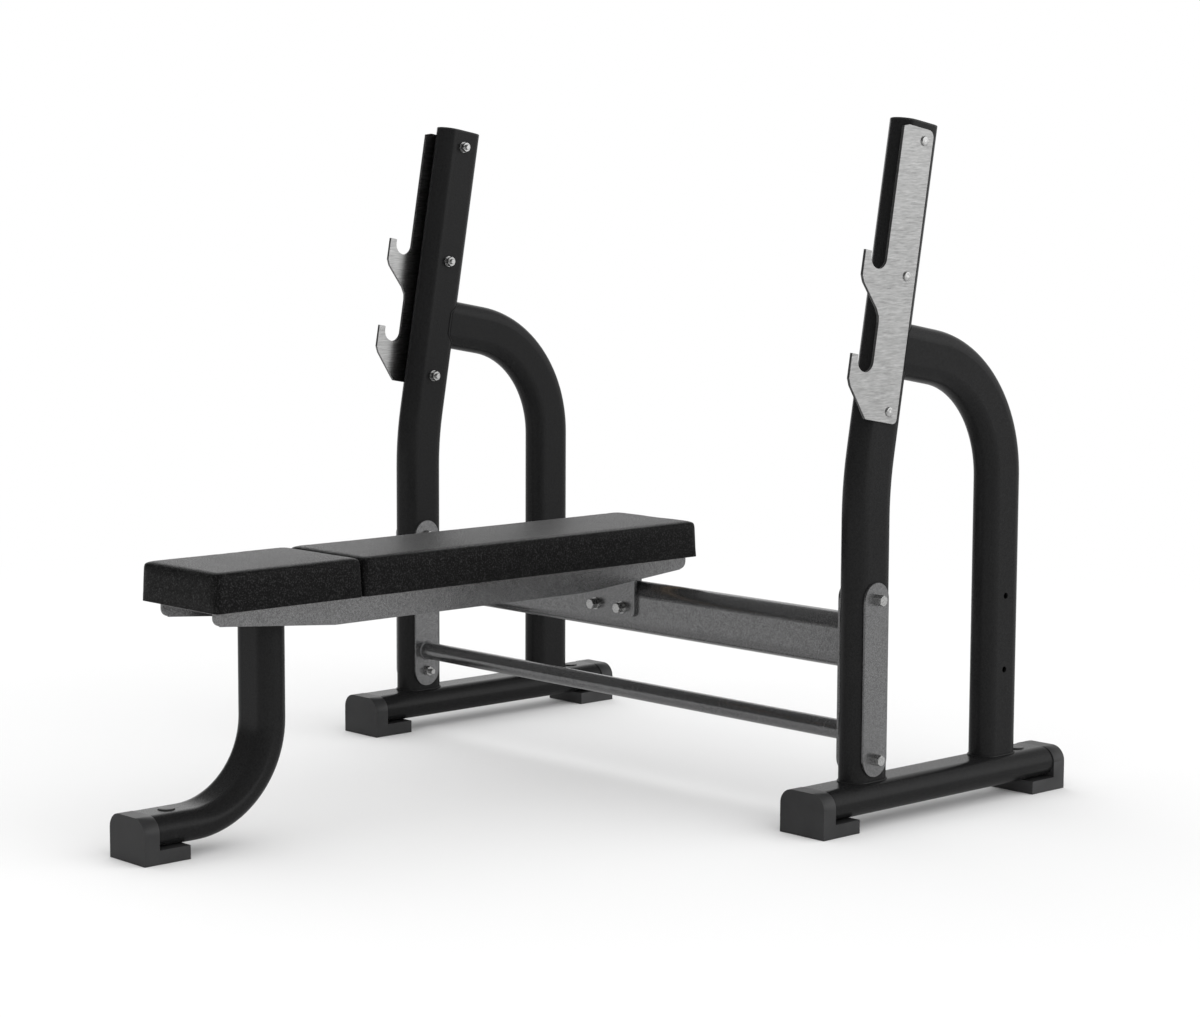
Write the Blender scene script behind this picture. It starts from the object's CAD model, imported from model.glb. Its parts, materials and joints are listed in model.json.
"""A padded bench on a steel frame, with two leaning uprights that carry hook plates.

Metres, +Z up. +X is the right-hand side and x = 0 the middle of the machine. +Y runs
from the foot end to the head end, where the rear posts stand behind the uprights.
Here they get materials, edge breaks, weld beads, upholstered pads, and a studio to
stand in.
"""
import json
import math

import bmesh
import bpy
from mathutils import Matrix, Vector


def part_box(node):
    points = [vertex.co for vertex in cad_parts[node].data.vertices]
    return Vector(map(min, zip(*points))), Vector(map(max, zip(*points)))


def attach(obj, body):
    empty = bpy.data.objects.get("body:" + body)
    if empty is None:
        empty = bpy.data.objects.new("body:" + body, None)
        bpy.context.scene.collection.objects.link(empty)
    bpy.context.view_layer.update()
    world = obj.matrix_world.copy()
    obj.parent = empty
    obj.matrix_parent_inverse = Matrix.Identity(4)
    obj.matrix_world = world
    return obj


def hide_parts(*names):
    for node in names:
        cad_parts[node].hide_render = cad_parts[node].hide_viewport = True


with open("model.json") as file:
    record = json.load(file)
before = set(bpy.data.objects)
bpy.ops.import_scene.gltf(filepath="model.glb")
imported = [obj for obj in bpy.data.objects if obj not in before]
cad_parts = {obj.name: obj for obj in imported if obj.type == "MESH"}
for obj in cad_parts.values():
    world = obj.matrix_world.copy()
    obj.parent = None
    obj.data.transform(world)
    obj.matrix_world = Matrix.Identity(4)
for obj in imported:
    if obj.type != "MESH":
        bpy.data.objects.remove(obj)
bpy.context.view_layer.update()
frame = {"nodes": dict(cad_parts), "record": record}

NODES = frame["nodes"]
MM = 0.001

# The flat-oval frame tube, and the lean of the uprights above their kink
TUBE_WIDTH, TUBE_DEPTH = 0.050, 0.090
TUBE_RADIUS = TUBE_WIDTH / 2
TUBE_FLAT = (TUBE_DEPTH - TUBE_WIDTH) / 2  # half the straight run of the oval
LEAN = math.radians(10)
KINK_Z = 0.550

# Linear colours
WHITE = (1, 1, 1)
BLACK = (0.0100, 0.0100, 0.0102)
WELD_GREY = (0.112, 0.112, 0.114)
SATIN_GREY = (0.20, 0.20, 0.202)
RUBBER = (0.022, 0.022, 0.0225)


# ------------------------------------------------------------------ node trees
def shade(colour, factor):
    return [x * factor for x in colour]


def grey(value):
    return (value,) * 3


class Tree:
    """Builds a shader node tree. Inputs may be sockets, numbers, vectors or RGB colours."""

    def __init__(self, owner):
        owner.use_nodes = True
        self.tree = owner.node_tree
        self.tree.nodes.clear()

    def feed(self, socket, value):
        if hasattr(value, "is_output"):
            self.tree.links.new(value, socket)
        else:
            socket.default_value = (*value, 1.0) if socket.type == "RGBA" else value

    def add(self, kind, inputs=None, **settings):
        node = self.tree.nodes.new("ShaderNode" + kind)
        for name, value in settings.items():
            setattr(node, name, value)
        for socket, value in (inputs or {}).items():
            self.feed(node.inputs[socket], value)
        return node

    def math(self, operation, *values):
        return self.add("Math", dict(enumerate(values)), operation=operation).outputs[0]

    def plus(self, a, b):
        return self.math("ADD", a, b)

    def times(self, a, b):
        return self.math("MULTIPLY", a, b)

    def ramp(self, source, span=(0.3, 0.7), to=(0.0, 1.0), curve="LINEAR"):
        """Maps the span of the source onto the range `to`, clamped."""
        inputs = {"Value": source, "From Min": span[0], "From Max": span[1],
                  "To Min": to[0], "To Max": to[1]}
        return self.add("MapRange", inputs, interpolation_type=curve).outputs[0]

    def mix(self, factor, a, b):
        """Colour a where the factor is 0, colour b where it is 1."""
        return self.add("Mix", {0: factor, 6: a, 7: b}, data_type="RGBA").outputs[2]


class Mat(Tree):
    """A principled material. Every texture works in object space, in metres."""

    def __init__(self, name):
        self.material = bpy.data.materials.new(name)
        super().__init__(self.material)
        self.coords = self.add("TexCoord").outputs["Object"]

    def surface(self, inputs):
        shader = self.add("BsdfPrincipled", inputs)
        self.add("OutputMaterial", {0: shader.outputs[0]})
        return self.material

    def mapped(self, scale, rotation=(0, 0, 0)):
        inputs = {"Vector": self.coords, "Scale": scale, "Rotation": rotation}
        return self.add("Mapping", inputs).outputs[0]

    def noise(self, scale, detail=2.0, rough=0.5, coords=None, distortion=0.0):
        inputs = {"Vector": coords or self.coords, "Scale": scale, "Detail": detail,
                  "Roughness": rough, "Distortion": distortion}
        return self.add("TexNoise", inputs).outputs["Fac"]

    def voronoi(self, scale, feature="F1"):
        inputs = {"Vector": self.coords, "Scale": scale}
        return self.add("TexVoronoi", inputs, feature=feature).outputs["Distance"]

    def bump(self, height, distance, strength):
        inputs = {"Height": height, "Distance": distance, "Strength": strength}
        return self.add("Bump", inputs).outputs[0]

    def geometry(self, output):
        return self.add("NewGeometry").outputs[output]

    def facing(self, axis):
        """How squarely the surface faces along an axis (0 = X, 2 = Z), either way."""
        parts = self.add("SeparateXYZ", {0: self.geometry("Normal")})
        return self.math("ABSOLUTE", parts.outputs[axis], 0.0)


# ------------------------------------------------------------------ materials
def powder(name, colour, rough, rubbed, specular, metallic):
    """Powder coat: orange peel, a fine speckle in colour and gloss, faint handling marks."""
    m = Mat(name)
    peel = m.noise(scale=420, detail=3, rough=0.55)
    speck = m.noise(scale=1900, detail=1)
    cloud = m.noise(scale=6, detail=4, rough=0.6)
    rub = m.noise(scale=60, detail=5, rough=0.7)
    grain = m.noise(scale=430, detail=2, rough=0.6)

    c = m.mix(m.ramp(cloud), shade(colour, 0.95), shade(colour, 1.05))
    c = m.mix(m.ramp(speck, span=(0.35, 0.7), to=(0.0, 0.3)), c, shade(colour, 1.6))
    c = m.mix(m.ramp(grain, span=(0.34, 0.5), to=(0.6, 0.0)), c, shade(colour, 0.5))
    c = m.mix(m.ramp(grain, span=(0.5, 0.68), to=(0.0, 0.6)), c, shade(colour, 1.55))
    c = m.mix(m.ramp(rub, span=(0.66, 0.8), to=(0.0, 0.25)), c, rubbed)

    gloss = m.plus(m.ramp(speck, to=(rough - 0.05, rough + 0.05)),
                   m.ramp(cloud, to=(-0.015, 0.02)))
    gloss = m.plus(gloss, m.ramp(rub, span=(0.6, 0.8), to=(0.0, 0.03)))
    height = m.plus(m.times(peel, 0.7), m.times(speck, 0.3))
    return m.surface({
        "Base Color": c, "Roughness": gloss, "Specular IOR Level": specular,
        "Metallic": metallic, "Normal": m.bump(height, distance=0.00022, strength=0.55)})


def brushed(name, tilt):
    """Bare steel sheet with short streaks along Y in the leaning plate, darker cut edges."""
    m = Mat(name)
    turn = (tilt, 0, 0)
    fine = m.noise(scale=1.0, detail=4, rough=0.6, coords=m.mapped((1.0, 70.0, 1500.0), turn))
    wide = m.noise(scale=1.0, detail=3, rough=0.6, coords=m.mapped((1.0, 46.0, 420.0), turn))
    band = m.noise(scale=1.0, detail=2, coords=m.mapped((1.0, 9.0, 60.0), turn))
    smear = m.noise(scale=14, detail=4, rough=0.6)
    streaks = m.plus(m.times(fine, 0.45), m.times(wide, 0.55))

    c = m.mix(m.ramp(streaks, span=(0.34, 0.66)), (0.28, 0.28, 0.278), (0.61, 0.61, 0.606))
    c = m.mix(m.ramp(band, span=(0.35, 0.65), to=(0.0, 0.3)), c, (0.43, 0.43, 0.426))
    cut = m.ramp(m.facing(axis=0), span=(0.6, 0.3))
    c = m.mix(m.times(cut, 0.75), c, grey(0.09))
    gloss = m.plus(m.ramp(streaks, to=(0.26, 0.36)),
                   m.ramp(smear, span=(0.4, 0.75), to=(0.0, 0.05)))
    # the sheen spreads up and down, across the brush marks
    tangent = m.add("CombineXYZ", {1: math.sin(tilt), 2: math.cos(tilt)})
    return m.surface({
        "Base Color": c, "Metallic": 1.0, "Roughness": gloss, "Anisotropic": 0.75,
        "Tangent": tangent.outputs[0],
        "Normal": m.bump(streaks, distance=0.00005, strength=0.4)})


def zinc(name):
    """Bright zinc plate: soft frosting over a fine bump."""
    m = Mat(name)
    frost = m.noise(scale=260, detail=4, rough=0.6)
    fine = m.noise(scale=1500, detail=2)
    return m.surface({
        "Base Color": m.mix(m.ramp(frost, span=(0.35, 0.7)), grey(0.44), (0.62, 0.62, 0.61)),
        "Metallic": 1.0,
        "Roughness": m.ramp(frost, to=(0.22, 0.34)),
        "Normal": m.bump(fine, distance=0.00005, strength=0.4)})


def moulded(name, colour, rough):
    """Moulded rubber or plastic: an even grain, faint flow marks and paler worn edges."""
    m = Mat(name)
    cells = m.voronoi(scale=900)
    grain = m.noise(scale=500, detail=3, rough=0.6)
    cloud = m.noise(scale=22, detail=4, rough=0.6)
    height = m.plus(m.times(cells, 0.5), m.times(grain, 0.5))
    c = m.mix(m.ramp(cloud, span=(0.3, 0.75)), shade(colour, 0.85), shade(colour, 1.3))
    worn = m.ramp(m.geometry("Pointiness"), span=(0.52, 0.62), to=(0.0, 0.5))
    return m.surface({
        "Base Color": m.mix(worn, c, shade(colour, 2.6)),
        "Roughness": m.ramp(cloud, to=(rough - 0.04, rough + 0.05)),
        "Specular IOR Level": 0.28,
        "Normal": m.bump(height, distance=0.00016, strength=0.5)})


def vinyl(name):
    """Grained upholstery vinyl: pebbled cells, creases between them, uneven gloss."""
    m = Mat(name)
    warp = m.noise(scale=60)
    cells = m.voronoi(scale=760)
    creases = m.voronoi(scale=520, feature="DISTANCE_TO_EDGE")
    fine = m.noise(scale=2300)
    cloud = m.noise(scale=7, detail=4, rough=0.6)
    pebble = m.noise(scale=420)

    height = m.math("SUBTRACT", m.ramp(creases, span=(0.0, 0.16)), m.times(cells, 0.5))
    height = m.plus(height, m.times(fine, 0.15))
    height = m.plus(height, m.times(pebble, 0.8))
    c = m.mix(m.ramp(cloud), (0.0055, 0.0055, 0.0056), (0.0080, 0.0080, 0.0082))
    c = m.mix(m.ramp(creases, span=(0.0, 0.12), to=(0.6, 0.0)), c, grey(0.003))
    c = m.mix(m.ramp(pebble, span=(0.40, 0.60)), grey(0.0022), c)
    c = m.mix(m.ramp(pebble, span=(0.55, 0.70), to=(0.0, 0.85)), c, grey(0.027))
    gloss = m.plus(m.ramp(cloud, to=(0.34, 0.37)), m.ramp(warp, to=(-0.01, 0.02)))
    gloss = m.plus(gloss, m.ramp(pebble, span=(0.35, 0.65), to=(0.06, -0.06)))
    return m.surface({
        "Base Color": c, "Roughness": gloss, "Specular IOR Level": 0.080,
        "Sheen Weight": m.ramp(pebble, span=(0.38, 0.62), to=(0.02, 0.15)),
        "Sheen Roughness": 0.35,
        "Normal": m.bump(height, distance=0.00016, strength=0.45)})


def plywood(name):
    """Raw ply: grain along the board, dark and pale layers through its thickness."""
    m = Mat(name)
    grain = m.noise(scale=1.0, detail=5, rough=0.62, coords=m.mapped((260, 9, 260)),
                    distortion=0.4)
    ring = m.noise(scale=1.0, detail=3, coords=m.mapped((34, 2.4, 34)), distortion=1.2)
    layers = m.add("TexWave", {"Vector": m.coords, "Scale": 105, "Distortion": 0.3},
                   bands_direction="Z")
    edge = m.ramp(m.facing(axis=2), span=(0.7, 0.5))
    c = m.mix(m.ramp(grain), (0.38, 0.25, 0.14), (0.62, 0.46, 0.29))
    c = m.mix(m.ramp(ring, span=(0.42, 0.62), to=(0.0, 0.5)), c, (0.50, 0.34, 0.19))
    plies = m.mix(layers.outputs["Fac"], (0.30, 0.18, 0.10), (0.60, 0.45, 0.29))
    return m.surface({
        "Base Color": m.mix(edge, c, plies),
        "Roughness": m.ramp(grain, to=(0.58, 0.75)),
        "Normal": m.bump(grain, distance=0.0002, strength=0.6)})


def weld_paint(name, colour):
    """Paint over a weld bead."""
    m = Mat(name)
    grain = m.noise(scale=700, detail=3, rough=0.6)
    return m.surface({
        "Base Color": m.mix(m.ramp(grain), shade(colour, 0.85), shade(colour, 1.3)),
        "Roughness": m.ramp(grain, to=(0.36, 0.48)),
        "Specular IOR Level": 0.2,
        "Normal": m.bump(grain, distance=0.0002, strength=0.5)})


# Keys are the material slots of the frame
MATERIALS = {
    "black_paint": powder("satin_black_powder_coat", BLACK, rough=0.24, rubbed=grey(0.05),
                          specular=0.12, metallic=0.0),
    "grey_paint": powder("satin_grey_powder_coat", SATIN_GREY, rough=0.24, rubbed=grey(0.22),
                         specular=0.36, metallic=0.9),
    "bare_steel": brushed("brushed_bare_steel", tilt=LEAN),
    "zinc": zinc("bright_zinc"),
    "foot_rubber": moulded("moulded_rubber", RUBBER, rough=0.38),
    "black_plastic": moulded("moulded_plastic", grey(0.014), rough=0.30),
    "vinyl": vinyl("grained_black_vinyl"),
    "plywood": plywood("raw_plywood"),
}
WELD_PAINT = {
    "black_paint": weld_paint("weld_under_black", BLACK),
    "grey_paint": weld_paint("weld_under_grey", WELD_GREY),
}

for part in frame["record"]["subparts"]:
    # the record may list a part that has no object
    obj = NODES.get(part["node"])
    if obj is not None:
        obj.data.materials.clear()
        obj.data.materials.append(MATERIALS[part["material_slot"]])

# ------------------------------------------------------------------ edge breaks
# Bevel width in millimetres: the hard pieces that get it
EDGE_BREAKS = {
    0.2: ("flange_nuts", "hanger_nuts", "hook_nuts", "hook_washers"),
    0.25: ("hook_bolts",),
    0.3: ("flange_bolts", "hanger_bolts", "tube_plugs"),
    0.5: ("left_hook_plate", "right_hook_plate"),
    0.6: ("bench_channel", "beam_hanger", "beam_saddle", "leg_plate", "seat_board",
          "back_board"),
    0.8: ("upright_caps",),
    2.0: ("foot_leg", "foot_left_front", "foot_left_rear", "foot_right_front",
          "foot_right_rear"),
}


def break_edges(obj, width_mm):
    weld = obj.modifiers.new("Weld", "WELD")
    weld.merge_threshold = 0.00001
    bevel = obj.modifiers.new("EdgeBreak", "BEVEL")
    bevel.width = width_mm * MM
    bevel.segments = 3 if width_mm > 1 else 2
    bevel.limit_method = "ANGLE"
    bevel.angle_limit = math.radians(38)
    bevel.use_clamp_overlap = True
    bevel.harden_normals = True


for width_mm, names in EDGE_BREAKS.items():
    for name in names:
        break_edges(NODES[name], width_mm)


# ------------------------------------------------------------------ geometry helpers
def new_obj(name, bm, material, smooth=True):
    mesh = bpy.data.meshes.new(name)
    bm.to_mesh(mesh)
    bm.free()
    if smooth:
        mesh.polygons.foreach_set("use_smooth", [True] * len(mesh.polygons))
    mesh.materials.append(material)
    mesh.update()
    obj = bpy.data.objects.new(name, mesh)
    bpy.context.scene.collection.objects.link(obj)
    return obj


def join_rings(bm, a, b):
    """A band of quads between two closed rings of vertices."""
    n = len(a)
    for k in range(n):
        bm.faces.new((a[k], a[(k + 1) % n], b[(k + 1) % n], b[k]))


def resample(path, step):
    """Even points round a closed path, about a step apart."""
    points = path + [path[0]]
    lengths = [(b - a).length for a, b in zip(points, points[1:])]
    total = sum(lengths)
    count = int(round(total / step))
    out, passed, i = [], 0.0, 0
    for k in range(count):
        distance = total * k / count
        while i < len(lengths) - 1 and passed + lengths[i] < distance:
            passed += lengths[i]
            i += 1
        out.append(points[i].lerp(points[i + 1], (distance - passed) / lengths[i]))
    return out


def oval(cx, cy, width, height, steps=14):
    """Points round a flat oval; the longer dimension carries the straight sides."""
    radius = min(width, height) / 2
    run_x = max(0.0, (width - height) / 2)
    run_y = max(0.0, (height - width) / 2)
    start = -math.pi / 2 if width > height else 0.0
    points = []
    for end, turn in ((1, start), (-1, start + math.pi)):
        for k in range(steps + 1):
            angle = turn + math.pi * k / steps
            points.append((cx + end * run_x + radius * math.cos(angle),
                           cy + end * run_y + radius * math.sin(angle)))
    return points


# ------------------------------------------------------------------ weld beads
RIPPLE_PITCH = 2.6 * MM
RINGS_PER_RIPPLE = 3
RIPPLE = 0.12  # swell of a ripple, as a share of the bead radius
WANDER = 0.05  # slow unevenness along the run, likewise
BEAD_SIDES = 8
SEAM_INSET = 0.4 * MM


def bead(name, path, radius, slot, outward):
    """A round bead along a closed path, rippled like a run of weld.

    outward(point) gives the direction in which each ring starts.
    """
    points = resample(path, RIPPLE_PITCH / RINGS_PER_RIPPLE)
    n = len(points)
    bm = bmesh.new()
    rings = []
    for i, p in enumerate(points):
        tangent = (points[(i + 1) % n] - points[i - 1]).normalized()
        normal = outward(p)
        normal = (normal - tangent * normal.dot(tangent)).normalized()
        across = tangent.cross(normal)
        phase = (i % RINGS_PER_RIPPLE) / RINGS_PER_RIPPLE
        r = radius * (1.0 + RIPPLE * (0.5 - abs(phase - 0.35) * 1.4)
                      + WANDER * math.sin(i * 0.37) * math.sin(i * 0.11 + 1.3))
        ring = []
        for k in range(BEAD_SIDES):
            a = 2 * math.pi * k / BEAD_SIDES
            ring.append(bm.verts.new(
                p + normal * (math.cos(a) * r) + across * (math.sin(a) * r)))
        rings.append(ring)
    for a, b in zip(rings, rings[1:] + rings[:1]):
        join_rings(bm, a, b)
    bmesh.ops.recalc_face_normals(bm, faces=bm.faces)
    obj = new_obj(name, bm, WELD_PAINT[slot])
    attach(obj, "root")


up_lo, up_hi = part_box("right_upright")
base_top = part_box("right_base_tube")[1].z
beam_lo, beam_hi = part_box("cross_beam")
tie_lo, tie_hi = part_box("tie_bar")
leg_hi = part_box("leg_tube")[1]
TUBE_X = (up_lo.x + up_hi.x) / 2
UPRIGHT_Y = up_lo.y + TUBE_DEPTH / 2
POST_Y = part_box("right_rear_post")[1].y - TUBE_DEPTH / 2
BEAM_Y = (beam_lo.y + beam_hi.y) / 2
BEAM_Z = (beam_lo.z + beam_hi.z) / 2
SIDES = ((-1, "left"), (1, "right"))

# The seams lie a little outside the tubes they go round
BLACK_SEAM = (TUBE_WIDTH + 0.8 * MM, TUBE_DEPTH + 0.8 * MM)
GREY_SEAM = (TUBE_WIDTH + 0.6 * MM, TUBE_DEPTH + 0.6 * MM)


def base_surface_z(dx):
    """Top of a base tube, a flat oval lying down, at dx from its middle line."""
    past_flat = min(max(0.0, abs(dx) - TUBE_FLAT), 0.0249)
    return base_top - (TUBE_RADIUS - math.sqrt(TUBE_RADIUS ** 2 - past_flat ** 2))


def foot_bead(name, cx, cy):
    """Where an upright or a rear post stands on its base tube."""
    lift = 0.6 * MM
    path = [Vector((x, y, base_surface_z(x - cx) + lift)) for x, y in oval(cx, cy, *BLACK_SEAM)]
    bead(name, path, 1.8 * MM, "black_paint",
         lambda p: Vector((p.x - cx, (p.y - cy) * 0.6, 0.02)))


cos_lean, sin_lean = math.cos(LEAN), math.sin(LEAN)


def from_lean(x, back, up):
    """A point given by its distances behind and along the leaning part of an upright."""
    return Vector((x, UPRIGHT_Y + back * cos_lean + up * sin_lean,
                   KINK_Z - back * sin_lean + up * cos_lean))


# A rear post bends forward and meets the leaning upright at right angles
POST_BEND_RADIUS, POST_BEND_Z = 0.210, 0.542
bend_angle = math.pi / 2 - LEAN
meet_y = POST_Y - POST_BEND_RADIUS + POST_BEND_RADIUS * math.cos(bend_angle)
meet_z = POST_BEND_Z + POST_BEND_RADIUS * math.sin(bend_angle)
MEET_UP = (meet_y - UPRIGHT_Y) * sin_lean + (meet_z - KINK_Z) * cos_lean


def post_head_bead(name, cx):
    """Where a rear post meets the rounded back of its upright."""
    radius = TUBE_RADIUS + 0.2 * MM
    path = []
    for x, up in oval(0, 0, *BLACK_SEAM):
        back = TUBE_FLAT + math.sqrt(radius ** 2 - min(abs(x), radius) ** 2)
        path.append(from_lean(cx + x, back, MEET_UP + up))
    middle = from_lean(cx, TUBE_FLAT, MEET_UP)
    bead(name, path, 1.3 * MM, "black_paint", lambda p: p - middle)


def beam_bead(name, x):
    path = [Vector((x, y, z)) for y, z in oval(BEAM_Y, BEAM_Z, *GREY_SEAM)]
    bead(name, path, 1.8 * MM, "grey_paint",
         lambda p: Vector((0, p.y - BEAM_Y, (p.z - BEAM_Z) * 0.6)))


def tie_bead(name, x, steps=36):
    tie_z = (tie_lo.z + tie_hi.z) / 2
    radius = (tie_hi.z - tie_lo.z) / 2 + 0.4 * MM
    path = []
    for k in range(steps):
        a = 2 * math.pi * k / steps
        path.append(Vector((x, BEAM_Y + radius * math.cos(a), tie_z + radius * math.sin(a))))
    bead(name, path, 1.9 * MM, "grey_paint",
         lambda p: Vector((0, p.y - BEAM_Y, p.z - tie_z)))


def leg_bead(name):
    """Round the head of the leg, under its plate."""
    leg_y = leg_hi.y - TUBE_WIDTH / 2
    across, along = GREY_SEAM
    path = [Vector((x, y, leg_hi.z - SEAM_INSET)) for x, y in oval(0, leg_y, along, across)]
    bead(name, path, 2.4 * MM, "grey_paint",
         lambda p: Vector((p.x * 0.6, p.y - leg_y, 0)))


for side, tag in SIDES:
    foot_bead(f"weld_{tag}_upright_foot", side * TUBE_X, UPRIGHT_Y)
    foot_bead(f"weld_{tag}_post_foot", side * TUBE_X, POST_Y)
for side, tag in SIDES:
    post_head_bead(f"weld_{tag}_post_head", side * TUBE_X)
# the beam and the tie bar end on the flange plates
for side, tag in SIDES:
    end_x = side * (beam_hi.x - SEAM_INSET)
    beam_bead(f"weld_{tag}_beam", end_x)
    tie_bead(f"weld_{tag}_tie", end_x)
leg_bead("weld_leg_head")

# ------------------------------------------------------------------ upholstered pads
SKIRT = 0.014  # extra depth under a pad, trimmed off once the cover is shaped
SIDE_INSET = 0.0006  # draw-in of the sides from bottom to top
ROLL = 0.0048  # radius of the rolled top edge
CORNER_LOW, CORNER_HIGH = 0.003, 0.011  # plan corner radius at the bottom and top of the sides
SIDE_STEPS, ROLL_STEPS = 5, 6

# part, growth at the foot end (-Y) and at the head end (+Y); less where the pads meet
PADS = (
    ("seat", 0.0022, -0.0004),
    ("back", -0.0004, 0.0014),
)


def pad_profile(height):
    """(inset, height, corner radius) of each ring, from the skirt to the rolled top edge."""
    side = height - ROLL
    profile = [(0.0, -SKIRT, CORNER_LOW)]
    for k in range(SIDE_STEPS + 1):
        t = k / SIDE_STEPS
        profile.append((SIDE_INSET * t, t * side, CORNER_LOW + (CORNER_HIGH - CORNER_LOW) * t))
    for k in range(1, ROLL_STEPS + 1):
        a = math.pi / 2 * k / ROLL_STEPS
        profile.append((SIDE_INSET + ROLL * (1 - math.cos(a)), side + ROLL * math.sin(a),
                        CORNER_HIGH + 0.0004 * k))
    return profile


def rounded_rect(half_x, half_y, radius, steps=7):
    points = []
    for sx, sy, start in ((1, 1, 0), (-1, 1, 90), (-1, -1, 180), (1, -1, 270)):
        for k in range(steps + 1):
            a = math.radians(start + 90 * k / steps)
            points.append((sx * (half_x - radius) + radius * math.cos(a),
                           sy * (half_y - radius) + radius * math.sin(a)))
    return points


def plan(lo, hi):
    """Centre and half sizes of a box, seen from above."""
    return (lo.x + hi.x) / 2, (lo.y + hi.y) / 2, (hi.x - lo.x) / 2, (hi.y - lo.y) / 2


def pad_block(lo, hi):
    cx, cy, half_x, half_y = plan(lo, hi)
    bm = bmesh.new()
    rings = []
    for inset, z, corner in pad_profile(hi.z - lo.z):
        outline = rounded_rect(half_x - inset, half_y - inset, corner)
        rings.append([bm.verts.new((cx + x, cy + y, lo.z + z)) for x, y in outline])
    for a, b in zip(rings, rings[1:]):
        join_rings(bm, a, b)
    bm.faces.new(list(reversed(rings[0])))
    bm.faces.new(rings[-1])
    return bm


def apply_modifiers(obj):
    graph = bpy.context.evaluated_depsgraph_get()
    mesh = bpy.data.meshes.new_from_object(obj.evaluated_get(graph), depsgraph=graph)
    obj.modifiers.clear()
    obj.data = mesh


def puff(obj, frames, pressure, most, hold_z, fade):
    """Inflates the cover, held below hold_z and freed over the fade height.

    A point may only move outwards, by `most` at the most.
    """
    rest = [v.co.copy() for v in obj.data.vertices]
    normals = [v.normal.copy() for v in obj.data.vertices]
    held = obj.vertex_groups.new(name="held")
    for v in obj.data.vertices:
        weight = 1.0 if v.co.z < hold_z else max(0.0, 1.0 - (v.co.z - hold_z) / fade)
        if weight > 0:
            held.add([v.index], weight, "REPLACE")

    cloth = obj.modifiers.new("Cloth", "CLOTH")
    settings = cloth.settings
    settings.quality = 5
    settings.mass = 0.4
    settings.tension_stiffness = 40
    settings.compression_stiffness = 40
    settings.shear_stiffness = 20
    settings.bending_stiffness = 2.0
    settings.use_pressure = True
    settings.uniform_pressure_force = pressure
    settings.effector_weights.gravity = 0
    settings.vertex_group_mass = "held"
    settings.pin_stiffness = 1.0
    cloth.collision_settings.use_collision = False
    cloth.point_cache.frame_start = 1
    cloth.point_cache.frame_end = frames + 1
    scene = bpy.context.scene
    for number in range(1, frames + 1):
        scene.frame_set(number)
    apply_modifiers(obj)
    scene.frame_set(1)

    for v, start, normal in zip(obj.data.vertices, rest, normals):
        v.co = start + normal * min(most, max(0.0, (v.co - start).dot(normal)))
    obj.vertex_groups.clear()


def crown(obj, lo, hi, rise=0.0006, above=0.75):
    """Raises the middle of the top, fading out at the edges and down to `above`."""
    cx, cy, half_x, half_y = plan(lo, hi)
    for v in obj.data.vertices:
        t = (v.co.z - lo.z) / (hi.z - lo.z)
        if t > above:
            fx = min(1.0, abs(v.co.x - cx) / half_x)
            fy = min(1.0, abs(v.co.y - cy) / half_y)
            v.co.z += rise * ((1 - fx ** 2.4) * (1 - fy ** 6)) * (t - above) / (1 - above)


def trim_skirt(obj, z):
    """Cuts the cover flat at z and closes it, leaving a crisp lower edge."""
    bm = bmesh.new()
    bm.from_mesh(obj.data)
    bmesh.ops.bisect_plane(bm, geom=bm.verts[:] + bm.edges[:] + bm.faces[:],
                           plane_co=(0, 0, z), plane_no=(0, 0, 1), clear_inner=True)
    bmesh.ops.contextual_create(bm, geom=[e for e in bm.edges if e.is_boundary])
    bmesh.ops.recalc_face_normals(bm, faces=bm.faces)
    bm.to_mesh(obj.data)
    bm.free()


def cut_pocket(obj, board):
    """The recess in the underside that holds the board."""
    gap, below = 0.0006, 0.02
    lo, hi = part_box(board)
    lo = lo - Vector((gap, gap, below))
    hi = hi + Vector((gap, gap, gap))
    bm = bmesh.new()
    bmesh.ops.create_cube(bm, size=1.0)
    for v in bm.verts:
        v.co = Vector([a + (b - a) * (c + 0.5) for a, b, c in zip(lo, hi, v.co)])
    cutter = new_obj(obj.name + "_cut", bm, MATERIALS["vinyl"], smooth=False)
    pocket = obj.modifiers.new("Pocket", "BOOLEAN")
    pocket.operation = "DIFFERENCE"
    pocket.solver = "EXACT"
    pocket.object = cutter
    apply_modifiers(obj)
    bpy.data.objects.remove(cutter)


def make_pad(part, foot_growth, head_growth):
    lo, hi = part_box(f"{part}_cushion")
    side_growth, top_drop = 0.0020, 0.0012
    bm = pad_block(lo - Vector((side_growth, foot_growth, 0)),
                   hi + Vector((side_growth, head_growth, -top_drop)))
    obj = new_obj(f"{part}_pad", bm, MATERIALS["vinyl"])
    remesh = obj.modifiers.new("Remesh", "REMESH")
    remesh.mode = "VOXEL"
    remesh.voxel_size = 0.0042
    remesh.adaptivity = 0
    apply_modifiers(obj)
    puff(obj, frames=12, pressure=4.0, most=0.0010, hold_z=lo.z + 0.001, fade=0.012)
    crown(obj, lo, hi)
    smooth = obj.modifiers.new("Smooth", "SMOOTH")
    smooth.factor = 0.5
    smooth.iterations = 2
    subdivide = obj.modifiers.new("Sub", "SUBSURF")
    subdivide.levels = subdivide.render_levels = 1
    apply_modifiers(obj)
    trim_skirt(obj, lo.z)
    cut_pocket(obj, f"{part}_board")
    # smooth skin, with crisp edges round the underside and the pocket
    for face in obj.data.polygons:
        face.use_smooth = True
    obj.data.set_sharp_from_angle(angle=math.radians(50))
    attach(obj, "root")
    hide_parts(f"{part}_cushion")


for pad in PADS:
    make_pad(*pad)


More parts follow.
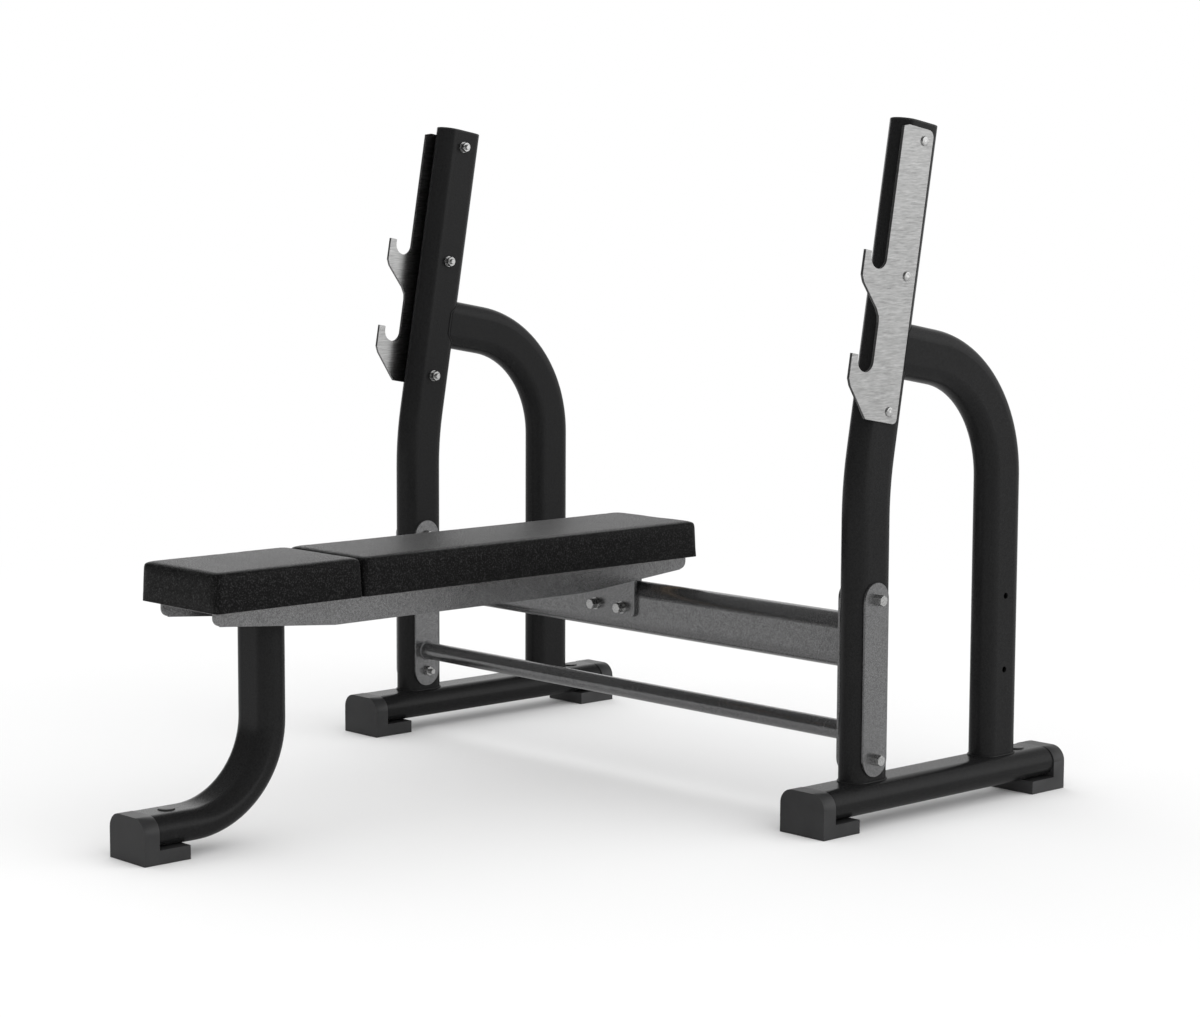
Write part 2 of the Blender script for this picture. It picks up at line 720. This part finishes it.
# ------------------------------------------------------------------ floor
def floor_material():
    """Matt paper, lit round the machine and running out into an even white ground."""
    material = bpy.data.materials.new("pale_floor")
    t = Tree(material)
    paper, paper_reflected = grey(0.86), grey(0.55)
    # the paper counts for less in reflections
    glossy = t.add("LightPath").outputs["Is Glossy Ray"]
    diffuse = t.add("BsdfDiffuse", {0: paper})
    t.feed(diffuse.inputs[0], t.mix(glossy, paper, paper_reflected))
    glow = t.add("Emission", {0: WHITE})
    # the white ground takes over with distance from the middle, for the camera only
    coords = t.add("TexCoord").outputs["Object"]
    distance = t.add("VectorMath", {0: coords}, operation="LENGTH").outputs["Value"]
    far = t.ramp(distance, span=(1.6, 3.2), curve="SMOOTHSTEP")
    seen = t.times(far, t.add("LightPath").outputs["Is Camera Ray"])
    sweep = t.add("MixShader", {0: seen, 1: diffuse.outputs[0], 2: glow.outputs[0]})
    t.add("OutputMaterial", {0: sweep.outputs[0]})
    return material


bm = bmesh.new()
bmesh.ops.create_grid(bm, x_segments=2, y_segments=2, size=30)
floor = new_obj("floor", bm, floor_material(), smooth=False)
floor.location.z = -0.0003

# ------------------------------------------------------------------ world light
# Soft lobes of light: azimuth from +Y towards +X, elevation (degrees), strength
LOBES = (
    (0, 90, 0.26),
    (0, 58, 0.4), (60, 58, 0.82), (120, 58, 0.25), (180, 58, 0.47), (240, 58, 0.24),
    (300, 58, 0.67),
    (40, 30, 0.71), (80, 30, 1.17), (120, 30, 0.56), (160, 30, 0.6), (200, 30, 0.7),
    (240, 30, 0.36), (280, 30, 1.09), (320, 30, 0.38),
    (0, 6, 0.26), (30, 6, 0.55), (60, 6, 1.05), (90, 6, 0.88), (120, 6, 0.64),
    (150, 6, 0.51), (180, 6, 0.46), (210, 6, 0.24), (240, 6, 0.16), (270, 6, 0.71),
    (300, 6, 0.57), (330, 6, 0.18),
)
LOBE_SHARPNESS = 10.0


def lobe_light(t, direction):
    """Sum of the lobes, each strength * exp(sharpness * (cos(angle off axis) - 1))."""
    total = None
    for azimuth, elevation, strength in LOBES:
        a, e = math.radians(azimuth), math.radians(elevation)
        axis = (math.sin(a) * math.cos(e), math.cos(a) * math.cos(e), math.sin(e))
        dot = t.add("VectorMath", {0: direction, 1: axis}, operation="DOT_PRODUCT")
        power = t.math("MULTIPLY_ADD", dot.outputs["Value"], LOBE_SHARPNESS, -LOBE_SHARPNESS)
        lobe = t.add("Math", {0: t.math("EXPONENT", power), 1: strength, 2: 0.0},
                     operation="MULTIPLY_ADD")
        if total is not None:
            t.feed(lobe.inputs[2], total)
        total = lobe.outputs[0]
    return total


def build_world():
    """White to the camera, the lobes to everything else."""
    world = bpy.data.worlds.new("studio")
    bpy.context.scene.world = world
    t = Tree(world)
    rays = t.add("LightPath").outputs
    direction = t.add("TexCoord").outputs["Generated"]
    light = lobe_light(t, direction)
    # in reflections the foot side and the sky overhead are dark
    parts = t.add("SeparateXYZ", {0: direction}).outputs
    dark = t.ramp(t.math("SUBTRACT", parts["Y"], parts["Z"]), span=(0.18, -0.15),
                  to=(0.0, 0.9), curve="SMOOTHSTEP")
    kept = t.math("SUBTRACT", 1.0, t.times(dark, rays["Is Glossy Ray"]))
    studio = t.add("Background", {0: WHITE, 1: t.times(light, kept)})
    backdrop = t.add("Background", {0: WHITE, 1: 1.0})
    mixed = t.add("MixShader", {0: rays["Is Camera Ray"], 1: studio.outputs[0],
                                2: backdrop.outputs[0]})
    t.add("OutputWorld", {0: mixed.outputs[0]})


build_world()

# ------------------------------------------------------------------ camera
# Azimuth is measured from -Y towards +X
CAMERA_AZIMUTH, CAMERA_ELEVATION = math.radians(48.74883), math.radians(6.51674)
CAMERA_TARGET = Vector((-0.2221719, 0.1847942, 0.4555952))
CAMERA_DISTANCE = 5.0841203

camera_data = bpy.data.cameras.new("camera")
camera = bpy.data.objects.new("camera", camera_data)
bpy.context.scene.collection.objects.link(camera)
bpy.context.scene.camera = camera
to_camera = Vector((math.sin(CAMERA_AZIMUTH) * math.cos(CAMERA_ELEVATION),
                    -math.cos(CAMERA_AZIMUTH) * math.cos(CAMERA_ELEVATION),
                    math.sin(CAMERA_ELEVATION)))
camera.location = CAMERA_TARGET + to_camera * CAMERA_DISTANCE
camera.rotation_mode = "QUATERNION"
camera.rotation_quaternion = (-to_camera).to_track_quat("-Z", "Y")
camera_data.sensor_width = 36.0
camera_data.sensor_fit = "HORIZONTAL"
camera_data.lens = 85.603344
camera_data.shift_x = 0.0880188333
camera_data.shift_y = -0.001159
camera_data.clip_end = 60

bpy.context.scene.view_settings.view_transform = "Standard"
